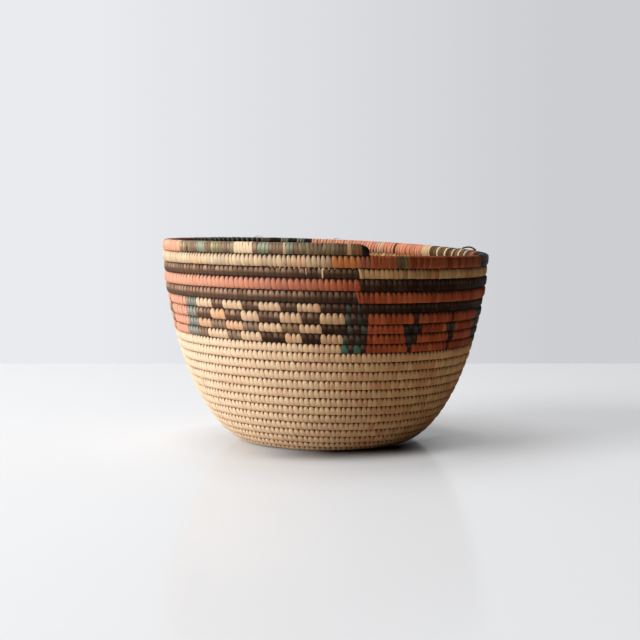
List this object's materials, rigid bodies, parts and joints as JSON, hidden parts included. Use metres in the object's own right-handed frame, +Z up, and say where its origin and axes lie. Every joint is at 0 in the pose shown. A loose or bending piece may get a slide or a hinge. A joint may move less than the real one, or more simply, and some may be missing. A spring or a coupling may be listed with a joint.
{
  "type": "coiled basket",
  "caption": "Round coiled basket with a flat base, flaring wall, banded and panelled upper rows and an open mouth, for holding dry goods.",
  "frame": {"origin": "middle of the underside of the base, on the surface that the basket stands on", "axes": "+Z up out of the mouth, -Y towards the front, where the step in the rim is, +X to the right of the front"},
  "size_m": [0.2863, 0.2867, 0.1794],
  "materials": {
    "natural_splint": "matte plant fibre",
    "grass_bundle": "matte plant fibre",
    "coral_splint": "matte plant fibre",
    "checker_splint": "matte plant fibre",
    "dark_splint": "matte plant fibre",
    "cream_splint": "matte plant fibre",
    "orange_splint": "matte plant fibre",
    "rust_splint": "matte plant fibre",
    "olive_splint": "matte plant fibre",
    "green_splint": "matte plant fibre",
    "maroon_splint": "matte plant fibre",
    "salmon_splint": "matte plant fibre",
    "brown_splint": "matte plant fibre",
    "black_splint": "matte plant fibre"
  },
  "bodies": {
    "root": {"base_button": "natural_splint", "checker_panel_1_row_1": "checker_splint", "checker_panel_1_row_2": "checker_splint", "checker_panel_1_row_3": "checker_splint", "checker_panel_1_row_4": "checker_splint", "checker_panel_2_row_1": "checker_splint", "checker_panel_2_row_2": "checker_splint", "checker_panel_2_row_3": "checker_splint", "checker_panel_2_row_4": "checker_splint", "checker_panel_3_row_1": "checker_splint", "checker_panel_3_row_2": "checker_splint", "checker_panel_3_row_3": "checker_splint", "checker_panel_3_row_4": "checker_splint", "coral_band": "coral_splint", "cream_turn": "cream_splint", "cream_turn_orange_end": "orange_splint", "grass_foundation": "grass_bundle", "lower_dark_band": "dark_splint", "natural_coil": "natural_splint", "red_panel_1_row_1": "coral_splint", "red_panel_1_row_2": "coral_splint", "red_panel_1_row_3": "coral_splint", "red_panel_1_row_4": "coral_splint", "red_panel_2_row_1": "coral_splint", "red_panel_2_row_2": "coral_splint", "red_panel_2_row_3": "coral_splint", "red_panel_2_row_4": "coral_splint", "red_panel_3_row_1": "coral_splint", "red_panel_3_row_2": "coral_splint", "red_panel_3_row_3": "coral_splint", "red_panel_3_row_4": "coral_splint", "rim_coral_run": "coral_splint", "rim_green_run": "green_splint", "rim_maroon_run": "maroon_splint", "rim_mottled_run": "brown_splint", "rim_olive_run": "olive_splint", "rim_rust_run": "rust_splint", "rim_salmon_run": "salmon_splint", "rim_tip": "black_splint", "stray_splint": "dark_splint", "upper_dark_band": "dark_splint"}
  },
  "joints": []
}
